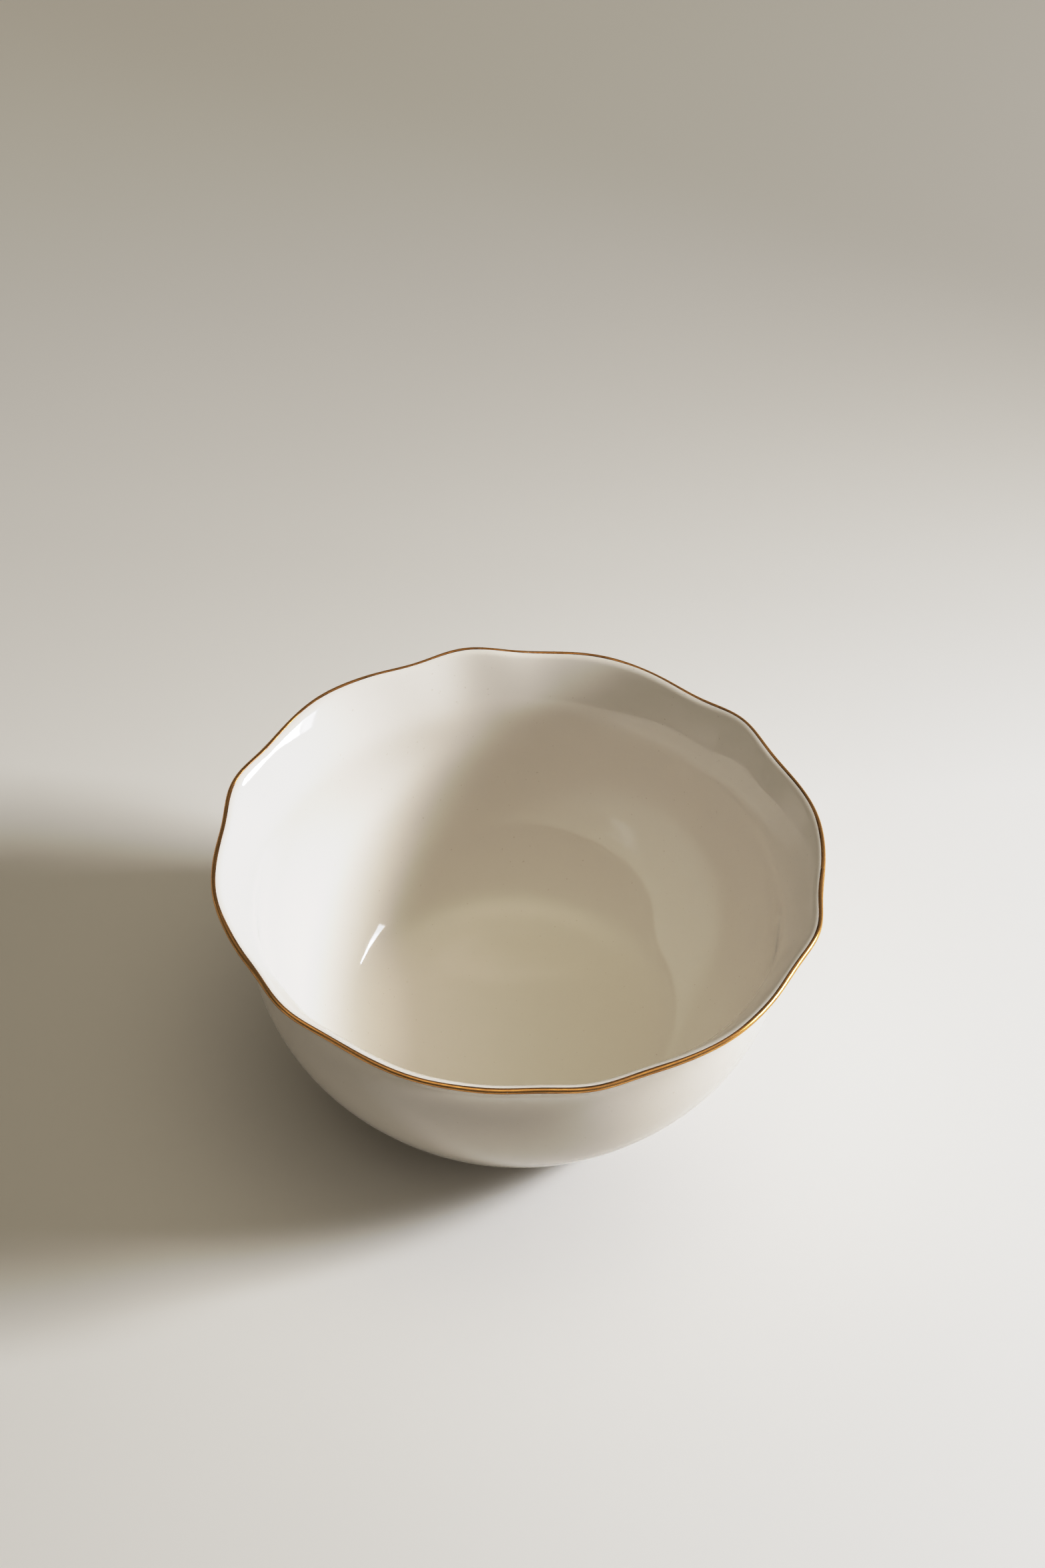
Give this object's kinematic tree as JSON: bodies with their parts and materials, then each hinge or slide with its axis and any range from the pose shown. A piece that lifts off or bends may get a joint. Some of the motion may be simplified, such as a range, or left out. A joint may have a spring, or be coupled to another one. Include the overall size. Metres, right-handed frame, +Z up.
{
  "type": "serving bowl",
  "caption": "Deep round porcelain serving bowl with a gently waved, outward-turned lip, a painted gold line round the rim and a low foot ring.",
  "frame": {"origin": "centre of the standing edge of the foot ring, on the table", "axes": "+Z up along the axis of the bowl; the bowl is round, so +X and +Y are set by the waves of the lip, with the nearest crest of a wave 14 degrees from +X towards +Y"},
  "size_m": [0.2274, 0.2266, 0.1064],
  "materials": {
    "porcelain": "unglazed, matt",
    "glaze": "gloss, warm white",
    "gold": "burnished gold line, brown where it is thin"
  },
  "bodies": {
    "root": {"bowl_body": "porcelain", "foot_ring": "porcelain", "inside_glaze": "glaze", "outside_glaze": "glaze", "base_glaze": "glaze", "gold_rim_line": "gold"}
  },
  "joints": []
}
